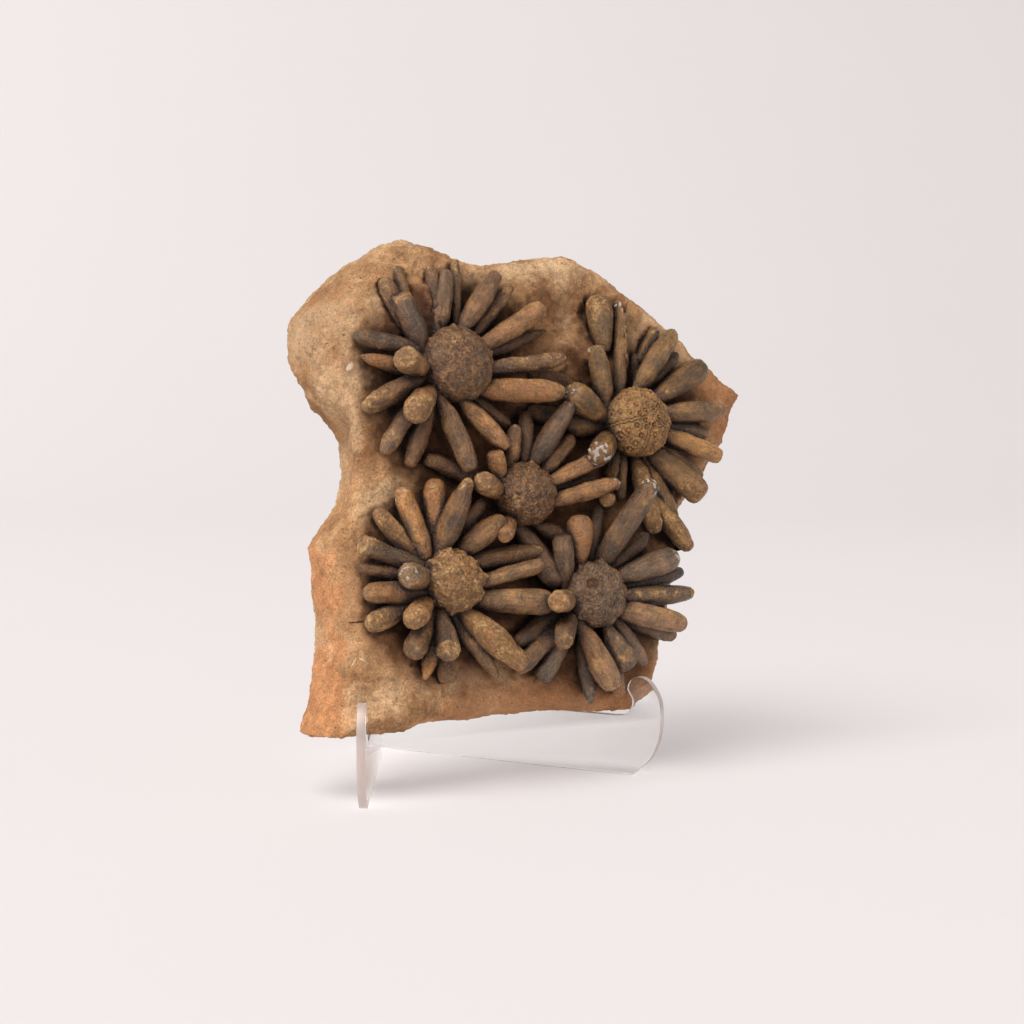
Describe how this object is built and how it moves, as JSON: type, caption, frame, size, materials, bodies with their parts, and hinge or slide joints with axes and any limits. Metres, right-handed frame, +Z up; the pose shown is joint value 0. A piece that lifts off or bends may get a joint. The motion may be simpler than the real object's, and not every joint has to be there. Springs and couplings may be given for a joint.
{
  "type": "fossil sea urchin slab on a display stand",
  "caption": "Sandstone slab set with club-spined fossil sea urchins, leaning upright on a clear crossed-plate easel.",
  "frame": {"origin": "the middle of the bounding box, on the surface that the easel stands on", "axes": "+X to the viewer's right across the slab, +Y from its front to the crossing of the easel behind it, +Z up"},
  "size_m": [0.2565, 0.1475, 0.2524],
  "materials": {
    "sandstone": "rough broken ochre sandstone",
    "urchin_dark": "matte brown-grey fossil calcite",
    "urchin_olive": "matte olive-brown fossil calcite",
    "urchin_brown": "matte brown fossil calcite",
    "urchin_ochre": "matte ochre-brown fossil calcite",
    "urchin_grey": "matte grey-brown fossil calcite",
    "clear_acrylic": "clear polished cast acrylic sheet"
  },
  "bodies": {
    "root": {"matrix_slab": "sandstone", "urchin_top_left": "urchin_dark", "urchin_top_right": "urchin_olive", "urchin_centre": "urchin_brown", "urchin_bottom_left": "urchin_ochre", "urchin_bottom_right": "urchin_grey", "stand_left_plate": "clear_acrylic", "stand_right_plate": "clear_acrylic"}
  },
  "joints": []
}
